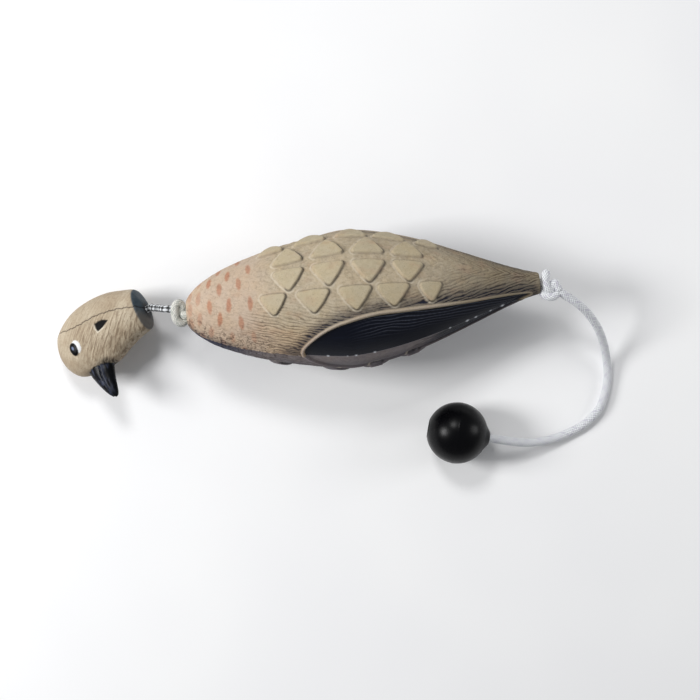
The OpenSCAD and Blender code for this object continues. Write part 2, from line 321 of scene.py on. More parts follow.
# ---------------------------------------------------------------- material tools
class Shader:
    """Builds one procedural material, node by node."""

    def __init__(self, name, roughness, own_places=True, **settings):
        self.own_places = own_places
        self.material = bpy.data.materials.new(name)
        self.material.use_nodes = True
        self.tree = self.material.node_tree
        self.surface = self.tree.nodes["Principled BSDF"]
        self.surface.inputs["Roughness"].default_value = roughness
        for key, value in settings.items():
            self.surface.inputs[key.replace("_", " ")].default_value = value

    def put(self, socket, value):
        """Links value to a socket, or sets it there."""
        if isinstance(value, bpy.types.NodeSocket):
            self.tree.links.new(value, socket)
        else:
            socket.default_value = value

    def node(self, kind, **inputs):
        """A new node, with its inputs set or linked by name."""
        node = self.tree.nodes.new("ShaderNode" + kind)
        for name, value in inputs.items():
            self.put(node.inputs[name.replace("_", " ")], value)
        return node

    def attribute(self, name):
        """The node that reads a named value of the mesh."""
        node = self.node("Attribute")
        node.attribute_name = name
        return node

    def mask(self, name):
        """The mesh's own mask of that name."""
        return self.attribute(name).outputs["Fac"]

    def place(self, stretch):
        """Position on the piece, stretched along its axes."""
        if self.own_places:
            position = self.attribute("local").outputs["Vector"]
        else:
            position = self.node("TexCoord").outputs["Object"]
        return self.node("Mapping", Vector=position, Scale=stretch).outputs["Vector"]

    def noise(self, scale, detail=3, stretch=(1, 1, 1)):
        """Smooth noise from 0 to 1 over the piece."""
        place = self.place(stretch)
        return self.node("TexNoise", Vector=place, Scale=scale, Detail=detail, Roughness=0.55).outputs["Fac"]

    def strokes(self, stretch):
        """Noise drawn out along the flow of the moulded feathers."""
        flow = self.attribute("flow").outputs["Vector"]
        along = self.node("Mapping", Vector=flow, Scale=stretch).outputs["Vector"]
        return self.node("TexNoise", Vector=along, Scale=1, Detail=2.5, Distortion=0.6).outputs["Fac"]

    def band(self, value, low, high, start=0.0, end=1.0):
        """Maps low..high of value to start..end, smoothly."""
        node = self.node("MapRange", Value=value, From_Min=low, From_Max=high, To_Min=start, To_Max=end)
        node.interpolation_type = "SMOOTHSTEP"
        return node.outputs["Result"]

    def math(self, kind, a, b):
        node = self.node("Math")
        node.operation = kind
        self.put(node.inputs[0], a)
        self.put(node.inputs[1], b)
        return node.outputs[0]

    def times(self, a, b):
        return self.math("MULTIPLY", a, b)

    def mix(self, factor, a, b, how="MIX"):
        """Colour a turned into colour b by factor."""
        node = self.node("Mix")
        node.data_type = "RGBA"
        node.blend_type = how
        self.put(node.inputs[0], factor)
        self.put(node.inputs[6], a)
        self.put(node.inputs[7], b)
        return node.outputs[2]

    def over(self, colour, where, strength, paint):
        """Lays paint over colour, to a strength from 0 to 1, where a mask or other value says."""
        where = self.mask(where) if isinstance(where, str) else where
        return self.mix(self.times(where, strength), colour, paint)

    def bump(self, height, distance, strength):
        """Adds one layer of bump over those already there."""
        node = self.node("Bump", Strength=strength, Distance=distance, Height=height)
        before = self.surface.inputs["Normal"].links
        if before:
            self.tree.links.new(before[0].from_socket, node.inputs["Normal"])
        self.tree.links.new(node.outputs["Normal"], self.surface.inputs["Normal"])

    def done(self, colour, roughness=None):
        """Sets the surface's colour, and its roughness if that varies."""
        self.put(self.surface.inputs["Base Color"], colour)
        if roughness is not None:
            self.put(self.surface.inputs["Roughness"], roughness)
        return self.material


# ---------------------------------------------------------------- materials
# Paints and plastics, in the order in which the materials below use most of them
TAN = srgb(180, 167, 145)
TAN_PALE = srgb(200, 188, 168)
TAN_OLIVE = srgb(136, 126, 106)
PINKISH = srgb(186, 166, 148)
WARM = srgb(190, 163, 134)
PAD_TAN = srgb(178, 167, 138)
RUST = srgb(164, 112, 86)
SOOT = srgb(30, 32, 46)
NAVY = srgb(5, 9, 22)
BELLY_GREY = srgb(122, 115, 116)
GLUE = srgb(215, 218, 224)
TAN_GRAIN = srgb(158, 144, 120)
SMUDGE = srgb(168, 134, 110)
RIM_PALE = srgb(160, 148, 136)
RIM_OLIVE = srgb(112, 104, 90)
RIM_MAUVE = srgb(146, 136, 138)
BELLY_GRAIN = srgb(98, 90, 94)
BELLY_DARK = srgb(76, 74, 82)
BELLY_NAVY = srgb(44, 48, 68)
BELLY_TAIL = srgb(60, 58, 64)
BELLY_RIM = srgb(140, 130, 134)
# Painted shade for the moulded grooves and wrinkles
GROOVE_SHADE = srgb(78, 66, 56)
PAD_SHADE = srgb(40, 38, 40)
# Painted highlight for the pads' edges that face the nose
EDGE_HIGHLIGHT_PAINT = srgb(206, 196, 176)
WING_STREAK = srgb(18, 27, 44)
# Painted highlight for the crests of the wing's moulded lines
WING_CREST_HIGHLIGHT = srgb(78, 82, 94)
HEAD_TAN = srgb(164, 148, 126)
HEAD_PALE = srgb(180, 167, 146)
STROKE_DARK = srgb(106, 88, 68)
STROKE_PALE = srgb(204, 190, 166)
HEAD_GRAIN = srgb(128, 108, 88)
SLATE_DARK = srgb(52, 66, 76)
SLATE_PALE = srgb(82, 90, 96)
SLATE_LOW = srgb(112, 106, 99)
HEAD_SOOT = srgb(34, 28, 26)
SEAM_BROWN = srgb(38, 30, 26)
EAR_EDGE = srgb(206, 196, 178)
EYE_PAINT = srgb(222, 222, 222)
BLACK = srgb(4, 4, 6)
GLINT_BLUE = srgb(110, 122, 150)
HORN_DARK = srgb(7, 8, 11)
# Painted sheen for the beak's upper half
PAINTED_BEAK_SHEEN = srgb(72, 78, 98)
SCUFF_GREY = srgb(22, 22, 25)
LINER_WHITE = srgb(228, 226, 218)
LINER_HAZE = srgb(196, 192, 180)
FLOOR_LOW = srgb(242, 242, 243)
FLOOR_HIGH = srgb(246, 246, 246)
# Each braid's light yarn, dark yarn, and the colour of the painted shade in the gaps between its strands
WHITE_YARNS = (srgb(236, 238, 240), srgb(214, 212, 222), srgb(112, 116, 126))
WORN_YARNS = (srgb(214, 213, 205), srgb(176, 180, 172), srgb(70, 72, 70))
FLECKED_YARNS = (srgb(214, 217, 220), srgb(12, 13, 16), srgb(8, 8, 10))


def back_foam():
    """Tan paint: pinkish with rust flecks in front, olive towards the tail."""
    shader = Shader("painted_foam_back", 0.62, Specular_IOR_Level=0.16)
    fine = shader.band(shader.noise(420, 3), 0.38, 0.66)
    colour = shader.mix(shader.times(fine, 0.5), TAN, TAN_GRAIN)
    colour = shader.over(colour, "low", 0.6, WARM)
    colour = shader.over(colour, "front", 0.8, PINKISH)
    colour = shader.over(colour, "rear", 0.85, TAN_OLIVE)
    colour = shader.over(colour, "pad", 0.45, PAD_TAN)
    smudge = shader.band(shader.noise(160, 3, (0.5, 1, 1)), 0.5, 0.75)
    colour = shader.over(colour, smudge, 0.3, SMUDGE)
    wear_and_highlight = shader.band(shader.noise(900, 2), 0.2, 0.6, 0.7, 1)
    colour = shader.mix(shader.times(shader.times(shader.mask("fleck"), wear_and_highlight), 0.92), colour, RUST)
    rim = shader.mix(shader.mask("rear"), RIM_PALE, RIM_OLIVE)
    rim = shader.over(rim, "low", 0.7, RIM_MAUVE)
    colour = shader.over(colour, "rim", 0.8, rim)
    return foam_coat(shader, colour, 0.62)


def belly_foam():
    """Grey-purple paint, navy under the nose."""
    shader = Shader("painted_foam_belly", 0.62, Specular_IOR_Level=0.2)
    fine = shader.band(shader.noise(380, 3), 0.38, 0.66)
    colour = shader.mix(shader.times(fine, 0.5), BELLY_GREY, BELLY_GRAIN)
    colour = shader.over(colour, "low", 0.6, BELLY_DARK)
    colour = shader.over(colour, "front", 1, BELLY_NAVY)
    colour = shader.over(colour, "rear", 0.75, BELLY_TAIL)
    colour = shader.over(colour, "rim", 0.6, BELLY_RIM)
    return foam_coat(shader, colour, 0.0)


def foam_coat(shader, colour, soot_film):
    """What both painted foam halves share: mottling, speckle, painted shade in the grooves, soot laid
    heavier in the grooves as painted shade, painted shade and highlight at the pads' edges, the wing with
    painted highlights on its crests, and glue.
    """
    mottle = shader.band(shader.noise(90, 4), 0.35, 0.7)
    colour = shader.mix(shader.times(mottle, 0.35), colour, TAN_PALE, "SOFT_LIGHT")
    speckle = shader.band(shader.noise(1500, 2), 0.56, 0.72)
    colour = shader.over(colour, speckle, 0.3, SOOT)
    # Painted shade in the grooves and wrinkles; the soot is laid in full in the grooves and thinner on the
    # ridges between them, which is painted shade too
    colour = shader.over(colour, "groove", 0.6, GROOVE_SHADE)
    deep = shader.band(shader.mask("groove"), 0.05, 0.8, soot_film, 1)
    colour = shader.mix(shader.times(shader.mask("soot"), deep), colour, SOOT)
    # Painted shade on the pads' aft and top edges and a dark line along the seam at the tail, then a pale
    # painted highlight past the pads' edges that face the nose
    colour = shader.over(colour, "shade", 0.8, PAD_SHADE)
    colour = shader.over(colour, "wear_and_highlight", 0.6, EDGE_HIGHLIGHT_PAINT)
    wing = shader.mask("wing")
    streak = shader.band(shader.noise(300, 3, (0.2, 1, 1)), 0.5, 0.8)
    feathers = shader.mix(shader.times(streak, 0.3), NAVY, WING_STREAK)
    # Pale painted highlight on the crests between the wing's moulded lines
    feathers = shader.over(feathers, "barb_highlight", 0.7, WING_CREST_HIGHLIGHT)
    colour = shader.mix(wing, colour, feathers)
    colour = shader.over(colour, "glue", 1, GLUE)
    shader.bump(shader.noise(650, 3, (0.4, 1, 1)), 0.0002, 0.5)
    shader.bump(shader.noise(1900, 2), 0.00012, 0.6)
    return shader.done(colour, shader.band(wing, 0, 1, 0.62, 0.5))


def rope(name, light, dark, gap):
    """Braided cord: the strand mask picks the colour, and the gaps between strands are painted darker, as
    painted shade.
    """
    shader = Shader(name, 0.75, own_places=False, Sheen_Weight=0.15, Sheen_Roughness=0.5)
    colour = shader.mix(shader.mask("strand"), light, dark)
    # Painted shade: the colour darkens where the braid's surface dips between strands
    crevice_shade = shader.band(shader.mask("lift"), 0.3, 0.85, 0.7, 0)
    colour = shader.mix(crevice_shade, colour, gap)
    dirt = shader.band(shader.noise(160, 4), 0.5, 0.8)
    colour = shader.over(colour, dirt, 0.3, shader.mix(0.5, light, gap))
    shader.bump(shader.noise(5200, 2), 0.00008, 0.7)
    return shader.done(colour)


def head_plastic():
    """Painted hard plastic: fine feather strokes, a slate neck face, glossy black marks, and a painted sheen
    on the beak.
    """
    shader = Shader("painted_head_plastic", 0.5, Specular_IOR_Level=0.12)
    broad = shader.band(shader.noise(70, 3), 0.35, 0.7)
    colour = shader.mix(broad, HEAD_TAN, HEAD_PALE)
    strokes = shader.strokes((120, 1050, 320))
    strong = shader.mask("feathered")
    dark = shader.times(shader.band(strokes, 0.51, 0.64), 0.7)
    colour = shader.mix(shader.times(dark, strong), colour, STROKE_DARK)
    pale = shader.times(shader.band(strokes, 0.47, 0.35), 0.5)
    colour = shader.mix(shader.times(pale, strong), colour, STROKE_PALE)
    grain = shader.band(shader.noise(900, 3), 0.5, 0.7)
    colour = shader.over(colour, grain, 0.4, HEAD_GRAIN)
    slate = shader.mix(shader.band(shader.noise(110, 3), 0.4, 0.65), SLATE_DARK, SLATE_PALE)
    slate = shader.over(slate, "low_neck", 0.8, SLATE_LOW)
    colour = shader.over(colour, "neck", 1, slate)
    uneven = shader.band(strokes, 0.35, 0.6, 0.55, 1)
    colour = shader.mix(shader.times(shader.mask("soot"), uneven), colour, HEAD_SOOT)
    colour = shader.over(colour, "crease", 0.85, SEAM_BROWN)
    colour = shader.over(colour, "ear_line", 1, EAR_EDGE)
    colour = shader.over(colour, "white", 1, EYE_PAINT)
    colour = shader.over(colour, "black", 1, BLACK)
    colour = shader.over(colour, "glint", 1, GLINT_BLUE)
    # Painted sheen on the beak: pale blue-grey streaks, full above the mouth line and weaker below it
    streak = shader.band(shader.noise(420, 2, (0.3, 1, 1)), 0.45, 0.7)
    beak_sheen = shader.mix(shader.times(streak, shader.mask("beak_sheen")), HORN_DARK, PAINTED_BEAK_SHEEN)
    colour = shader.over(colour, "beak", 1, beak_sheen)
    glossy = shader.mask("gloss")
    matt = shader.math("SUBTRACT", 1.0, glossy)
    shader.bump(shader.times(shader.times(strokes, matt), strong), 0.0006, 0.8)
    shader.bump(shader.times(shader.noise(700, 3), matt), 0.0002, 0.5)
    return shader.done(colour, shader.band(glossy, 0, 1, 0.58, 0.3))


def ball_plastic():
    """Black plastic with a satin sheen and faint scuffs."""
    shader = Shader("satin_black_plastic", 0.3, Specular_IOR_Level=0.14)
    scuff = shader.band(shader.noise(900, 4, (1, 0.3, 1)), 0.62, 0.8)
    colour = shader.mix(shader.times(scuff, 0.2), BLACK, SCUFF_GREY)
    shader.bump(shader.noise(1800, 2), 0.00006, 0.5)
    return shader.done(colour, shader.band(shader.noise(60, 4), 0.3, 0.7, 0.24, 0.36))


def liner_plastic():
    """Milky plastic with a faint haze."""
    shader = Shader("liner_plastic", 0.4, own_places=False)
    haze = shader.band(shader.noise(300, 3), 0.4, 0.7)
    colour = shader.mix(shader.times(haze, 0.4), LINER_WHITE, LINER_HAZE)
    shader.bump(shader.noise(1200, 2, (0.1, 1, 1)), 0.00008, 0.5)
    return shader.done(colour)


def floor_paint():
    """Nearly white, with a faint clouding."""
    shader = Shader("pale_floor", 0.8, own_places=False)
    cloud = shader.band(shader.noise(6, 2), 0.3, 0.7)
    return shader.done(shader.mix(cloud, FLOOR_LOW, FLOOR_HIGH))


# ---------------------------------------------------------------- camera, floor and lights
def set_camera():
    """Straight above the dummy, which lies on its belly and partly on its right side."""
    camera = bpy.data.objects.new("camera", bpy.data.cameras.new("camera"))
    bpy.context.scene.collection.objects.link(camera)
    camera.location = CAMERA_AT
    camera.rotation_euler = (0, 0, CAMERA_TURN)
    camera.data.sensor_width = 36
    camera.data.lens = 110
    bpy.context.scene.camera = camera


def add_light(name, where, aim, width, height, power):
    """A rectangular lamp that faces aim."""
    light = bpy.data.lights.new(name, "AREA")
    light.shape = "RECTANGLE"
    light.size = width
    light.size_y = height
    light.energy = power
    holder = bpy.data.objects.new(name, light)
    bpy.context.scene.collection.objects.link(holder)
    holder.location = where
    holder.rotation_euler = (Vector(aim) - Vector(where)).to_track_quat("-Z", "Y").to_euler()


def set_lights():
    """Soft lamps to the left, right and top of the view, and an even pale room."""
    centre = (0, -0.02, 0.03)
    add_light("left_lamp", (-0.98, 0.12, 0.80), centre, 0.4, 0.45, 11.8)
    add_light("right_lamp", (1.12, 0.05, 0.46), centre, 0.4, 0.5, 3.2)
    add_light("top_lamp", (-0.25, 0.80, 1.25), centre, 0.35, 0.3, 7.2)
    world = bpy.data.worlds.new("room")
    world.use_nodes = True
    background = world.node_tree.nodes["Background"]
    background.inputs["Color"].default_value = (0.95, 0.97, 1, 1)
    background.inputs["Strength"].default_value = 0.26
    bpy.context.scene.world = world
    bpy.context.scene.view_settings.view_transform = "Standard"


def add_floor():
    """A wide pale floor at the height that the dummy lies on."""
    reach = 3
    corners = [(-reach, -reach, 0), (reach, -reach, 0), (reach, reach, 0), (-reach, reach, 0)]
    add_piece("floor", corners, [(0, 1, 2, 3)], floor_paint())


# ---------------------------------------------------------------- cords and knots
def cord_frames(line):
    """The direction of a line at each point, and two directions across it that don't twist."""
    along = np.gradient(line, axis=0)
    along /= np.linalg.norm(along, axis=1)[:, None]
    side = np.cross(along[0], (0, 0, 1) if abs(along[0][2]) < 0.9 else (1, 0, 0))
    sides = []
    for t in along:
        side = side - np.dot(side, t) * t
        side = side / np.linalg.norm(side)
        sides.append(side)
    sides = np.array(sides)
    return along, sides, np.cross(along, sides)


def braid(around, along, strands, pitch):
    """Height of a braid's surface from 0 to 1, and the number of the strand that is on top."""
    u = strands * around + along / pitch
    v = strands * around - along / pitch
    iu, iv = np.floor(u), np.floor(v)
    weave = np.sin(math.pi * (v + iu))
    first = np.sqrt(1 - (2 * (u - iu) - 1) ** 2) * (0.55 + 0.45 * weave)
    weave = -np.sin(math.pi * (u + iv))
    second = np.sqrt(1 - (2 * (v - iv) - 1) ** 2) * (0.55 + 0.45 * weave)
    top = np.where(first > second, iu % strands, strands + iv % strands)
    return np.maximum(first, second), top


def add_cord(name, points, diameter, material, weave, sides=44, gap=0.00032):
    """A braided cord swept along a smooth line through the points, with rounded ends."""
    strands, dark_strands = weave
    line = even_line(smooth_line(points, 12), gap)
    _, across, up = cord_frames(line)
    run = np.arange(len(line)) * gap
    turn = np.arange(sides) / sides
    pitch = math.pi * diameter / strands
    lift, top = braid(turn[None, :], run[:, None], strands, pitch)
    radius = diameter / 2 * (0.84 + 0.16 * lift)
    close = np.minimum(np.arange(len(line)), np.arange(len(line))[::-1])
    radius = radius * np.sqrt(1 - (1 - np.clip((close + 1) / 6, 0, 1)) ** 2)[:, None]
    angle = 2 * math.pi * turn
    ring = (np.cos(angle)[None, :, None] * across[:, None, :]
            + np.sin(angle)[None, :, None] * up[:, None, :])
    surface = (line[:, None, :] + radius[:, :, None] * ring).reshape(-1, 3)
    piece = add_piece(name, surface, ring_faces(len(line), sides), material, crease=80)
    set_mask(piece, "lift", lift)
    set_mask(piece, "strand", np.isin(top, dark_strands).astype(float))
    return piece, line


def shifted(points, centre):
    """Points in metres, from points in millimetres about a centre."""
    return [tuple(Vector(p) * 0.001 + centre) for p in points]


def box_centre(node):
    """The middle of a CAD node's box."""
    low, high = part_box(node)
    return (Vector(low) + Vector(high)) / 2


def build_throw_cord(white):
    """The laid throw cord, on into the ball as far as its knot."""
    along = Vector((math.cos(BALL_HEADING), math.sin(BALL_HEADING), 0))
    inside = [tuple(BALL_AT + along * d) for d in (BALL_R, 0.005, BALL_KNOT_AT + 0.002)]
    piece, line = add_cord("throw_cord", CORD_ROUTE + inside, CORD_D, white, WHITE_BRAID)
    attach(piece, "body")
    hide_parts("tail_cord")
    return piece, [tuple(p) for p in line[::8]] + [tuple(line[-1])]


def build_tail_knot(white):
    """An overhand knot: one upright loop by the body, one round the bottom, and the cord's exit."""
    turns = [(-11, 1.8, 0), (-6, 1.6, -1.4), (-1, 0.5, -2.6), (3, -1.6, -2.0), (4.0, -4.8, -0.5),
             (1.8, -6.9, 1.0), (-1.6, -7.0, 1.3), (-4.3, -5.2, 0.2), (-4.2, -1.4, -1.4), (-3.0, 3.0, -1.5),
             (-1.8, 6.6, -0.2), (-2.2, 6.4, 1.6), (-3.0, 2.4, 2.6), (-2.0, -2.0, 2.2), (0, -3.2, 1.0),
             (1.3, -0.4, 1.0), (2.9, 0.9, 1.4), (4.2, -1.4, 1.2), (5.0, -4.4, 0.6)]
    knot, _ = add_cord("tail_knot_overhand", shifted(turns, box_centre("tail_knot")), CORD_D, white,
                       WHITE_BRAID)
    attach(knot, "body")
    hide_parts("tail_knot")


def build_neck_knot(wear_and_highlight):
    """A flatter overhand knot: a wide loop towards the head and a short one against the nose."""
    turns = [(9, 0, 0), (5, -1.2, 0.4), (2.8, -1.9, 0.6), (1.4, 0.8, -1.0), (1.8, 4.2, -0.6),
             (0.3, 6.1, 0.6), (-1.9, 4.4, 1.5), (-2.5, 0.4, 1.7), (-2.1, -3.6, 1.4),
             (0, -6.0, 0.6), (2.2, -5.8, -0.8), (1.6, -2.6, -1.9), (-0.6, 0.6, -1.9), (-2.2, 2.4, -0.8)]
    knot, _ = add_cord("neck_knot_overhand", shifted(turns, box_centre("neck_knot")), CORD_D * 0.94,
                       wear_and_highlight, WHITE_BRAID, gap=0.0005)
    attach(knot, "nose_knot")
    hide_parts("neck_knot")


def build_ball_knot(white):
    """The knot in the ball's recess, which stops the cord."""
    turns = [(6, 0, 0), (2, 0, 0.5), (-1.5, 1.4, 1.6), (-2.2, -1.2, 1.6), (0.6, -2.4, 0),
             (1.6, 0.4, -1.8), (-0.8, 2.2, -1.2), (-2.4, 0.4, -0.2)]
    centre = BALL_PLACE @ Vector((BALL_KNOT_AT, 0, 0))
    turned = [tuple(Matrix.Rotation(BALL_HEADING, 3, "Z") @ Vector(p)) for p in turns]
    knot, _ = add_cord("ball_stop_knot", shifted(turned, centre), CORD_D * 0.9, white, WHITE_BRAID)
    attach(knot, "body")
    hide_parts("ball_knot")
    return knot


def build_body_cord(white):
    """The straight cord through the liner, between the two outer knots."""
    low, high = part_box("body_cord")
    ends = [(low[0], 0, AXIS_Z), (0, 0, AXIS_Z), (high[0], 0, AXIS_Z)]
    piece, _ = add_cord("body_cord_braid", ends, CORD_D, white, WHITE_BRAID, sides=32, gap=0.0005)
    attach(piece, "body")
    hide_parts("body_cord")


def build_neck_cord(flecked):
    """Two lengths that meet halfway: the upper bends at the knot, the lower at the head's hole."""
    head_up = (HEAD_PLACE.to_3x3() @ Vector((0, 0, 1))).normalized()
    head_bend = HEAD_PLACE @ Vector((HOLE_AT, 0, -0.0064))
    middle = (NECK_BEND + head_bend) / 2
    bow = Vector((-0.0006, 0, 0.0004))
    knot_side = NECK_BEND + Vector((0.0052, -0.0009, 0.0014))
    upper_line = [knot_side, NECK_BEND + Vector((0.0022, -0.0004, 0.0006)), NECK_BEND + bow,
                  (NECK_BEND + middle) / 2 + bow, middle]
    lower_line = [middle, (middle + head_bend) / 2 + bow, head_bend + bow * 0.5,
                  head_bend + head_up * 0.004, head_bend + head_up * 0.009, head_bend + head_up * 0.014]
    upper, _ = add_cord("neck_cord_upper", upper_line, NECK_CORD_D, flecked, FLECKED_BRAID, gap=0.0002)
    lower, _ = add_cord("neck_cord_lower", lower_line, NECK_CORD_D, flecked, FLECKED_BRAID, gap=0.0002)
    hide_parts("neck_cord")
    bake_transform(upper)
    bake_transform(lower)


def build_head_knot(flecked):
    """The stop knot inside the hollow head."""
    turns = [(0, 0, -6), (0, 0, -2), (1.2, 1.2, 0.8), (-0.8, 2.0, 2.2), (-2.2, -0.4, 0.6),
             (0.2, -2.2, -0.6), (2.2, 0.2, 0.8), (0.4, 1.0, 2.6), (-1.0, -0.8, 2.4)]
    centre = Vector((HOLE_AT, 0, 0.0095))
    points = [tuple(HEAD_PLACE @ (Vector(p) * 0.001 + centre)) for p in turns]
    knot, _ = add_cord("head_stop_knot", points, NECK_CORD_D * 0.9, flecked, FLECKED_BRAID)
    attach(knot, "head_anchor")
    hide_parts("head_knot")


# ---------------------------------------------------------------- foam body
def skin(x):
    """Radius of the foam's skin at x."""
    front = np.clip(-x / (NOSE_REACH - NOSE_X), 0, 1)
    rear = np.clip(x / TAIL_X, 0, 1)
    return np.where(x < 0, BODY_R * (1 - front ** NOSE_BEND) ** NOSE_POWER,
                    TAIL_R + (BODY_R - TAIL_R) * (1 - rear ** TAIL_BEND) ** TAIL_POWER)


def pad_places(x, phi, low_row, low_span):
    """Distance to the edge of the nearest scale pad, and which way that edge faces: aft and down."""
    best = np.full(x.shape, 1.0)
    aft, low = np.zeros(x.shape), np.zeros(x.shape)
    for row, (start, end) in ((UPPER_PADS, UPPER_SPAN), (low_row, low_span)):
        inset = 2.5
        for at, share in row:
            reach = float(skin(np.array(at))) + PAD_HEIGHT - PAD_ROUND
            half = PAD_WIDTH * share / 2 - PAD_ROUND
            length = reach * math.radians(end - start - 2 * inset)
            down = reach * np.radians(np.abs(phi) - start - inset)
            near = (np.abs(x - at) < half + 0.006) & (down > -0.006) & (down < length + 0.006)
            corners = np.array([(-half, 0), (0, -0.0004), (half, 0), (half * 0.56, length * 0.52),
                                (0, length), (-half * 0.56, length * 0.52)])
            gap = outline_distance(x[near] - at, down[near], corners) - PAD_ROUND
            closer = gap < best[near]
            best[near] = np.where(closer, gap, best[near])
            aft[near] = np.where(closer, (x[near] - at) / half, aft[near])
            low[near] = np.where(closer, (down[near] - 0.36 * length) / (0.64 * length), low[near])
    return best, aft, low


def wing_distance(x, up):
    """Distance to the wing's outline, seen from the side, negative inside it."""
    lower = [(a, -b) for a, b in WING_EDGE[-2:0:-1]]
    outline = smooth_line(WING_EDGE + lower, 5, closed=True)
    best = np.full(x.shape, 1.0)
    near = (x > -0.036) & (up < 0.034)
    best[near] = outline_distance(x[near], up[near], outline)
    return best


def fleck_mask(x, phi):
    """Rust flecks on the front third, in slanting rows."""
    mask = np.zeros(x.shape)
    for k in range(7):
        for j in range(-1, 3):
            a, b, c = (float(scatter(k, j, seed)) for seed in (1, 2, 3))
            at = -0.0570 - 0.0062 * k + 0.0012 * (a - 0.5)
            turn = -14 + 45 * j + 22 * (k % 2) + 6 * (b - 0.5)
            around = float(skin(np.array(at))) * np.radians(phi - turn)
            ragged = 0.0006 * (value_noise(around / 0.0011, x / 0.004, 20 + k + 7 * j) - 0.5)
            along = x - at + 0.22 * around * (c - 0.2) + ragged
            faint = 1 if abs(turn) < 56 and k < 5 else 0.55
            shape = (along / 0.0016) ** 2 + (around / 0.0045) ** 2
            mask = np.maximum(mask, faint * (0.8 + 0.2 * c) * step(1.5, 0.35, shape))
    return mask


def feather_lines(x, across):
    """Fine wandering lengthwise grooves: 1 at the bottom of a groove, 0 on a ridge."""
    wave = 0.0020 * value_noise(x / 0.011, across / 0.005, 5)
    split = 0.8 * value_noise(x / 0.0058, across / 0.0021, 6)
    split = split + 0.35 * value_noise(x / 0.0024, across / 0.0012, 11)
    line = np.sin(2 * math.pi * ((across + wave + 0.10 * x) / GROOVE_GAP + split))
    broken = value_noise(x / 0.0052, across / 0.0013, 7)
    return step(0.05, 0.95, line) * (0.3 + 0.7 * broken)


def wrinkles(u, v, seed):
    """A net of thin creases: 1 in a crease."""
    n = 0.65 * value_noise(u, v, seed) + 0.35 * value_noise(u * 2.3, v * 2.1, seed + 1)
    return step(0.075, 0.012, np.abs(n - 0.5))


def parting_turn(radius, is_back):
    """Degrees from the half's ridge to the parting plane, for a circle of that radius round the cord."""
    past = np.degrees(np.arcsin(np.clip(PART_DROP / radius, -0.97, 0.97)))
    return 90 + past if is_back else 90 - past


def tail_share(x, phi):
    """1 on the sides of the tail, 0 in front of it and along its ridge."""
    return step(0.040, 0.062, x) * step(4, 24, np.abs(phi))


def groove_share(x, phi, seam, wing):
    """How deep the lengthwise grooves run, from 0 to 1: deepest low on the flank and by the wing."""
    flank = step(0.033, 0.022, seam) * step(-0.066, -0.048, x)
    tail = tail_share(x, phi)
    between = (0.10 + 0.5 * step(0.044, 0.030, seam)) * step(-0.060, -0.040, x)
    near_rim = step(0.012, 0.003, wing) * step(0.030, 0.050, x)
    return np.maximum.reduce([flank * (1 - 0.5 * tail), 0.24 * tail, 0.9 * near_rim, between])


def wing_barbs(x, seam, wing, recess):
    """The wing's moulded lines: its grooves, and a pale painted highlight on the crests between them."""
    wander = 0.9 * value_noise(x / 0.012, seam / 0.006, 10)
    line = np.sin(2 * math.pi * (wing / BARB_GAP + wander))
    place = recess * step(-0.004, 0.022, x) * step(-0.018, -0.010, wing - 0.1 * x)
    return step(0.1, 0.9, line) * place, step(-0.72, -0.97, line) * place


def pad_paint(x, seam, pads, aft, low):
    """Painted shade on the pads' aft and top edges, and a pale painted highlight past the edges that face
    the nose.
    """
    ragged = 0.6 + 0.4 * value_noise(x / 0.0016, seam / 0.0016, 12)
    edge_band = step(0.0013, 0.0004, pads) * step(-0.0006, 0.0001, pads)
    facing_aft = step(0.05, 0.6, 0.75 * aft + 0.6 * low)
    top_line = 0.45 * step(0.35, 0.9, -low) * step(0.0009, 0.0003, pads)
    ridge_line = step(0.0019, 0.0013, pads) * step(0.0003, 0.0009, pads)
    facing_nose = step(0.05, 0.5, 0.55 * low - 0.85 * aft)
    # The first value is painted shade, the second a pale painted highlight
    return edge_band * ragged * np.maximum(facing_aft, top_line), ridge_line * facing_nose * ragged


def back_marks(x, phi, seam, wing, bare):
    """Where the back half's own paint goes: soot by the wing, rust flecks and a pinkish front."""
    above_wing = step(0.0095, 0.0020, wing) * step(-0.050, -0.034, x)
    patch = np.exp(-((x + 0.0335) / 0.0065) ** 2 - ((seam - 0.003) / 0.0052) ** 2)
    low_front = step(0.0075, 0.001, seam) * step(-0.052, -0.078, x)
    tail = tail_share(x, phi)
    soot = np.maximum.reduce([1.1 * above_wing, 1.2 * patch, 0.75 * low_front, 0.15 * tail])
    return {"soot": np.clip(soot * bare, 0, 1), "fleck": fleck_mask(x, phi),
            "front": step(-0.035, -0.062, x), "low": step(0.030, 0.010, seam) * step(0.020, -0.020, x)}


def belly_marks(x, seam, recess):
    """Where the belly half's own paint goes: a navy front, and a wing that is dark at its rear alone."""
    ragged = x + 0.016 * (value_noise(x / 0.004, seam / 0.0016, 16) - 0.5) + 0.5 * seam
    return {"wing": recess * step(0.040, 0.062, ragged), "front": step(-0.050, -0.078, x),
            "low": step(0.003, 0.018, seam)}


def tail_rounding(x):
    """How far the edge of the tail's end face is rounded off."""
    edge = np.clip(1 - (TAIL_X - x) / TAIL_ROUND, 0, 1)
    return TAIL_ROUND * (1 - np.sqrt(1 - edge ** 2))


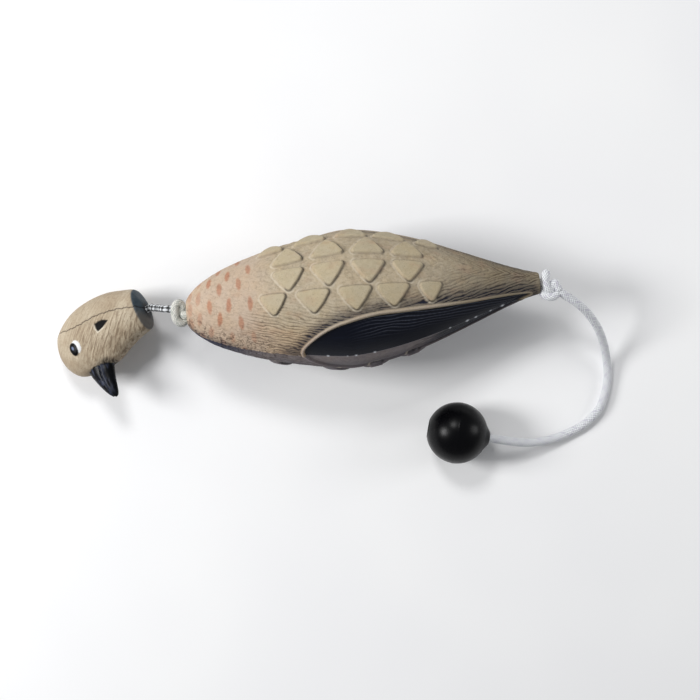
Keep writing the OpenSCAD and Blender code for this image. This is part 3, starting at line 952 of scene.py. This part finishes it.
def foam_relief(x, phi, is_back):
    """Height of the moulded surface above the skin, and the masks that its paint needs."""
    r = skin(x)
    seam = r * np.radians(parting_turn(r, is_back) - np.abs(phi))
    low_row, low_span = (LOWER_PADS, LOWER_SPAN) if is_back else (BELLY_PADS, BELLY_SPAN)
    pads, aft, low = pad_places(x, phi, low_row, low_span)
    wing = wing_distance(x, r * np.cos(np.radians(phi)))
    pad = step(0.0003, -0.0008, pads)
    recess = step(0.0001, -0.0009, wing)
    rim_width = RIM_WIDTH - RIM_TAPER * step(0.045, 0.075, x)
    rim = step(-0.0001, 0.0006, wing) * step(rim_width + 0.0004, rim_width - 0.0008, wing)
    off_rim = (1 - pad) * step(rim_width - 0.0003, rim_width + 0.0005, wing)
    bare = off_rim * step(0.0002, 0.0009, pads)

    grooves = feather_lines(x, seam) * bare * groove_share(x, phi, seam, wing)
    chin = step(0.019, 0.008, seam) * step(-0.034, -0.052, x)
    crackle = wrinkles(x / 0.0026, seam / 0.0019, 8) * chin * off_rim
    wear = wrinkles(x / 0.0034, seam / 0.0014, 14) * bare
    lumps = (value_noise(x / 0.0032, seam / 0.0022, 9) - 0.5) * off_rim
    # The second mask is the painted highlight on the wing's crests
    barb_lines, barb_crest_highlights = wing_barbs(x, seam, wing, recess)
    flash = np.exp(-(seam / 0.0003) ** 2)
    beads = glue_beads(x, seam)

    rim_height = (RIM_HEIGHT if is_back else BELLY_RIM_HEIGHT) * (1 - 0.55 * step(0.045, 0.070, x))
    height = PAD_HEIGHT * pad - WING_DEPTH * recess + rim_height * rim - tail_rounding(x)
    height = height - GROOVE_DEPTH * grooves - CRACKLE_DEPTH * crackle - WEAR_DEPTH * wear
    height = height - BARB_DEPTH * barb_lines + LUMP_HEIGHT * lumps
    height = height + FLASH_HEIGHT * flash + BEAD_HEIGHT * beads

    # The pads' painted shade and painted highlight
    shade, wear_and_highlight = pad_paint(x, seam, pads, aft, low)
    tail_seam = step(0.0010, 0.0003, seam) * step(0.092, 0.104, x)
    # The groove mask says where painted shade goes in the grooves and wrinkles
    masks = {"pad": pad, "rim": rim, "wing": recess, "barb_highlight": barb_crest_highlights, "wear_and_highlight": wear_and_highlight,
             "shade": np.clip(np.maximum(shade, tail_seam), 0, 1),
             "groove": np.clip(np.maximum(grooves * 1.35, crackle) + 0.3 * wear, 0, 1),
             "glue": np.clip(beads + 0.12 * flash * recess, 0, 1), "rear": step(0.045, 0.092, x)}
    masks.update(back_marks(x, phi, seam, wing, bare) if is_back else belly_marks(x, seam, recess))
    return height, masks


def glue_beads(x, seam):
    """Small beads of glue squeezed out along the parting line."""
    mask = np.zeros(x.shape)
    for at, size in GLUE_BEADS:
        mask = np.maximum(mask, np.exp(-((x - at) ** 2 + (seam - 0.0002) ** 2) / size ** 2))
    return mask


def bore(x):
    """Radius of the channel that the liner and the cord run in."""
    behind_flange = np.where(x < TAIL_X - TAIL_PLUG, LINER_R, TAIL_BORE_R)
    return np.where(x < NOSE_X + FLANGE_DEPTH, FLANGE_R, behind_flange)


def about_cord(x, radius, phi, upward):
    """Points at a radius round the cord, phi degrees from the half's ridge."""
    turn = np.radians(phi)
    return np.stack([x, -radius * np.sin(turn), upward * radius * np.cos(turn)], -1)


def build_foam_half(name, node, is_back, material):
    """One moulded half: a dense outer skin, the liner's channel, and flat parting faces."""
    stations, around, inner = 560, 340, 12
    t = np.linspace(0, 1, stations)
    xs = NOSE_X + (TAIL_X - NOSE_X) * (t - 0.5 * np.sin(2 * math.pi * t) / (2 * math.pi))
    s = np.linspace(-1, 1, around)
    x, share = np.meshgrid(xs, s + 0.1 * np.sin(math.pi * s), indexing="ij")
    phi = share * parting_turn(skin(x), is_back)
    height, masks = foam_relief(x, phi, is_back)
    upward = 1 if is_back else -1
    radius = skin(x) + height
    outer = about_cord(x, radius, phi, upward)
    ix, share = np.meshgrid(xs, np.linspace(1, -1, inner), indexing="ij")
    hollow = about_cord(ix, bore(ix), share * parting_turn(bore(ix), is_back), upward)
    points = np.concatenate([outer, hollow], axis=1)
    sides = around + inner
    piece = add_piece(name, points.reshape(-1, 3), ring_faces(stations, sides), material, BODY_PLACE, 75)
    for key, values in masks.items():
        full = np.zeros((stations, sides))
        full[:, :around] = values
        set_mask(piece, key, full)
    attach(piece, "body")
    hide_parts(node)


# ---------------------------------------------------------------- head
def head_loft(rings, sides, wall=0.0):
    """Closed rings of points through the head's outline, moved in by wall."""
    points = []
    for up, back, front, half in rings:
        middle, reach = (front + back) / 2, (front - back) / 2 - wall
        points.extend((middle + reach * c, (half - wall) * d, up) for c, d in circle(sides))
    return points


def beak_loft(sides):
    """Closed rings of points along the beak."""
    points = []
    for forward, up, half, tall in smooth_line(BEAK_RINGS, 4):
        points.extend((forward, half * c, up + tall * d) for c, d in circle(sides))
    return points


def cut_with(piece, tool, operation):
    """Applies a boolean with another object and deletes that object."""
    cut = piece.modifiers.new("cut", "BOOLEAN")
    cut.object = tool
    cut.operation = operation
    cut.solver = "MANIFOLD"
    bake_modifiers(piece)
    bpy.data.objects.remove(tool)


def seam_forward(up):
    """How far forward the seam between the head's halves lies at a height."""
    line = smooth_line(SEAM_LINE, 6)
    wander = 0.00022 * np.sin(up / 0.0009) + 0.00018 * np.sin(up / 0.00037 + 1)
    return np.interp(up, line[:, 1], line[:, 0]) + wander


def ear_distance(forward, up):
    """Distance to the ear mark's outline, negative inside it."""
    return outline_distance(forward, up, np.array(EAR_OUTLINE))


def mouth_distance(forward, up):
    """Distance from the line between the beak's halves, positive on the crown's side."""
    line = smooth_line(MOUTH_LINE, 5)
    return up - np.interp(forward, line[:, 0], line[:, 1])


def oval(forward, up, centre, size):
    """Distance from the centre of an oval on the head's side, as a share of the way to its edge."""
    slant = math.radians(-9)
    df, du = forward - centre[0], up - centre[1]
    along = df * math.cos(slant) + du * math.sin(slant)
    across = du * math.cos(slant) - df * math.sin(slant)
    return np.hypot(along / size[0], across / size[1])


def beak_reach(p):
    """How far each point stands out in front of the head's own outline."""
    rings = np.array(HEAD_RINGS)
    back, front, half = (np.interp(p[:, 2], rings[:, 0], rings[:, k]) for k in (1, 2, 3))
    side = np.sqrt(np.clip(1 - (p[:, 1] / half) ** 2, 0, 1))
    return p[:, 0] - (front + back) / 2 - (front - back) / 2 * side


def head_places(p):
    """Where each point of the head lies among its painted and moulded features."""
    forward, left, up = p[:, 0], p[:, 1], p[:, 2]
    fringe = 0.0008 * (value_noise(up / 0.0009, left / 0.0009, 21) - 0.5)
    beak = step(-0.0004, 0.0004, beak_reach(p) + fringe) * step(0.020, 0.022, forward)
    beak = beak * step(1.06, 0.97, np.hypot(left / 0.0064, (up - 0.0364) / 0.0086))
    return {"side": step(0.008, 0.010, np.abs(left)), "beak": beak,
            "seam": forward - seam_forward(up), "ear": ear_distance(forward, up),
            "pupil": oval(forward, up, *PUPIL), "white": oval(forward, up, *EYE_WHITE),
            "mouth": mouth_distance(forward, up)}


def head_relief(p):
    """How far each point of the head moves out along its normal."""
    at = head_places(p)
    eye = np.minimum(at["pupil"], at["white"])
    out = 0.0005 * step(1.1, 0.5, eye) * at["side"]
    out = out - 0.0003 * np.exp(-((eye - 1.14) / 0.14) ** 2) * at["side"]
    out = out - 0.0005 * step(0.0002, -0.0005, at["ear"]) * at["side"]
    out = out - 0.0005 * np.exp(-(at["seam"] / SEAM_HALF) ** 2)
    out = out - 0.0006 * np.exp(-(at["mouth"] / 0.00035) ** 2) * at["beak"]
    return out + 0.00012 * at["beak"]


def head_masks(piece):
    """Stores where the head's painted features lie."""
    p = mesh_points(piece)
    forward, left, up = p[:, 0], p[:, 1], p[:, 2]
    at = head_places(p)
    side = at["side"]
    eye = np.minimum(at["pupil"], at["white"])
    below_ear = step(-0.001, 0.003, (forward - 0.0035) + 0.5 * (up - 0.023))
    neck_face = step(0.0004, -0.0006, up)
    hole = np.hypot(forward - HOLE_AT, left)
    throat = np.hypot((forward - 0.0250) / 0.0036, (up - 0.0305) / 0.0060)
    brow = np.hypot((forward - 0.0262) / 0.0022, (up - 0.0425) / 0.0040)
    soot = [0.85 * step(1.3, 0.5, throat), 0.5 * step(1.3, 0.6, brow),
            0.9 * step(0.0075, 0.0030, hole) * neck_face]
    cheek = step(0.046, 0.034, up) * step(-0.002, 0.006, at["seam"])
    masks = {
        "black": np.maximum(step(1.05, 0.92, at["pupil"]), step(0.0001, -0.0004, at["ear"])) * side,
        "white": step(1.06, 0.94, at["white"]) * side,
        "glint": step(1.2, 0.5, oval(forward, up, *GLINT)) * side,
        "ear_line": step(0.0009, 0.0005, at["ear"]) * side * below_ear,
        "beak": at["beak"],
        # Where the beak's painted sheen goes: full above the mouth line, weaker below it, none at the tip
        "beak_sheen": np.clip(0.35 + step(-0.0008, 0.0022, at["mouth"]), 0, 1) * step(0.0455, 0.040, forward),
        "neck": neck_face,
        "low_neck": neck_face * step(0.001, 0.009, forward),
        "soot": np.clip(np.maximum.reduce(soot), 0, 1),
        "feathered": 0.28 + 0.6 * cheek,
        "gloss": np.maximum(step(1.1, 0.9, eye) * side, at["beak"]),
        "crease": np.exp(-(at["seam"] / SEAM_HALF) ** 2),
    }
    for name, values in masks.items():
        set_mask(piece, name, values)
    bend = forward - 2.5 * (up - 0.012) ** 2
    set_vectors(piece, "flow", np.stack([0.75 * bend + 0.66 * up, 0.66 * bend - 0.75 * up, left], axis=1))


def build_head(material):
    """The hard hollow head, moulded in two halves that meet on a leaning seam."""
    sides = 72
    rings = smooth_line(HEAD_RINGS, 4)
    shape = head_loft(list(rings) + [HEAD_TOP], sides)
    faces = ring_faces(len(rings) + 1, sides)
    beak_sides = 40
    beak = beak_loft(beak_sides)
    beak_faces = [tuple(len(shape) + i for i in f) for f in ring_faces(len(beak) // beak_sides, beak_sides)]
    head = add_piece("head_whole", shape + beak, faces + beak_faces, None)
    remesh = head.modifiers.new("skin", "REMESH")
    remesh.mode = "VOXEL"
    remesh.voxel_size = 0.00045
    smooth = head.modifiers.new("smooth", "SMOOTH")
    smooth.iterations = 4
    bake_modifiers(head)
    move_out(head, head_relief)
    cut_with(head, head_hollow(), "DIFFERENCE")
    halves = (("head_front_half", "head_front", True), ("head_back_half", "head_back", False))
    for name, node, front in halves:
        half = head.copy()
        half.data = head.data.copy()
        half.name = name
        half.data.name = name
        bpy.context.scene.collection.objects.link(half)
        cut_with(half, seam_block(front), "INTERSECT")
        finish_shading(half, 50)
        half.data.materials.clear()
        half.data.materials.append(material)
        head_masks(half)
        settle(half, HEAD_PLACE)
        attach(half, "head")
        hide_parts(node)
    bpy.data.objects.remove(head)


def move_out(piece, relief):
    """Moves every point along its normal by what relief says for its place."""
    mesh = piece.data
    points = mesh_points(piece)
    normals = np.empty(points.size)
    mesh.vertex_normals.foreach_get("vector", normals)
    points = points + normals.reshape(-1, 3) * relief(points)[:, None]
    mesh.vertices.foreach_set("co", points.ravel())
    mesh.update()


def head_hollow():
    """The room inside the head, with the cord's hole through its floor."""
    floor, roof = 0.004, 0.054
    rows = [row for row in HEAD_RINGS if floor < row[0] < roof]
    rings = smooth_line([(floor,) + tuple(rows[0][1:])] + rows, 3)
    room = add_piece("head_room", head_loft(rings, 48, HEAD_WALL), ring_faces(len(rings), 48), None)
    hole_r = NECK_CORD_D / 2 + HOLE_PLAY
    sides = 32
    hole = []
    for up in HOLE_ENDS:
        hole.extend((HOLE_AT + hole_r * c, hole_r * d, up) for c, d in circle(sides))
    drill = add_piece("head_drill", hole, ring_faces(len(HOLE_ENDS), sides), None)
    cut_with(room, drill, "UNION")
    return room


def seam_block(front):
    """A block that covers the head in front of the seam, or behind it."""
    reach = 0.08
    ups = np.linspace(-0.010, 0.066, 110)
    far = reach if front else -reach
    outline = list(zip(seam_forward(ups), ups)) + [(far, ups[-1]), (far, ups[0])]
    points = [(forward, y, up) for y in (-reach, reach) for forward, up in outline]
    return add_piece("seam_block", points, ring_faces(2, len(outline)), None)


# ---------------------------------------------------------------- ball
def ball_profile():
    """The ball's section, as pairs of place along the bore and radius, closed along the bore."""
    boss_edge, recess_edge = 24, 161
    mouth = 0.0006
    outer = []
    for degrees in np.linspace(boss_edge, recess_edge, 91):
        mould_line = 0.00012 * math.exp(-((degrees - 90) / 1.2) ** 2)
        angle = math.radians(degrees)
        outer.append(((BALL_R + mould_line) * math.cos(angle), (BALL_R + mould_line) * math.sin(angle)))
    boss = [(BALL_R + 0.0008, BALL_BORE_R), (BALL_R + 0.0012, BALL_BORE_R + 0.0003),
            (BALL_R + 0.0010, BALL_BORE_R + 0.0009), (BALL_R - 0.0003, BALL_BORE_R + 0.0028)]
    back = outer[-1][0]
    recess = [(back - 0.0002, RECESS_R + mouth / 2), (back + mouth, RECESS_R), (RECESS_FLOOR, RECESS_R),
              (RECESS_FLOOR, BALL_BORE_R)]
    return boss + outer + recess


def build_ball(material):
    """The ball: its section turned round the bore."""
    sides = 96
    profile = ball_profile()
    points = []
    for c, d in circle(sides):
        points.extend((x, r * c, r * d) for x, r in profile)
    count = len(profile)
    faces = []
    for k in range(sides):
        for i in range(count):
            a, b = k * count + i, k * count + (i + 1) % count
            c, d = (k + 1) % sides * count + (i + 1) % count, (k + 1) % sides * count + i
            faces.append((a, b, c, d))
    ball = add_piece("throw_ball_shell", points, faces, material, BALL_PLACE, 40)
    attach(ball, "ball")
    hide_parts("throw_ball")
    return ball


# ---------------------------------------------------------------- the whole model
set_camera()
white_rope = rope("white_braid", *WHITE_YARNS)
flecked_rope = rope("black_white_braid", *FLECKED_YARNS)
throw_cord, cord_path = build_throw_cord(white_rope)
throw_ball = build_ball(ball_plastic())
ball_knot = build_ball_knot(white_rope)
build_tail_knot(white_rope)
build_neck_knot(rope("worn_braid", *WORN_YARNS))
build_body_cord(white_rope)
build_neck_cord(flecked_rope)
build_head_knot(flecked_rope)
build_foam_half("foam_back_half", "back_shell", True, back_foam())
build_foam_half("foam_belly_half", "belly_shell", False, belly_foam())
build_head(head_plastic())
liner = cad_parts["core_tube"]
liner.data.materials.clear()
liner.data.materials.append(liner_plastic())
add_floor()
set_lights()
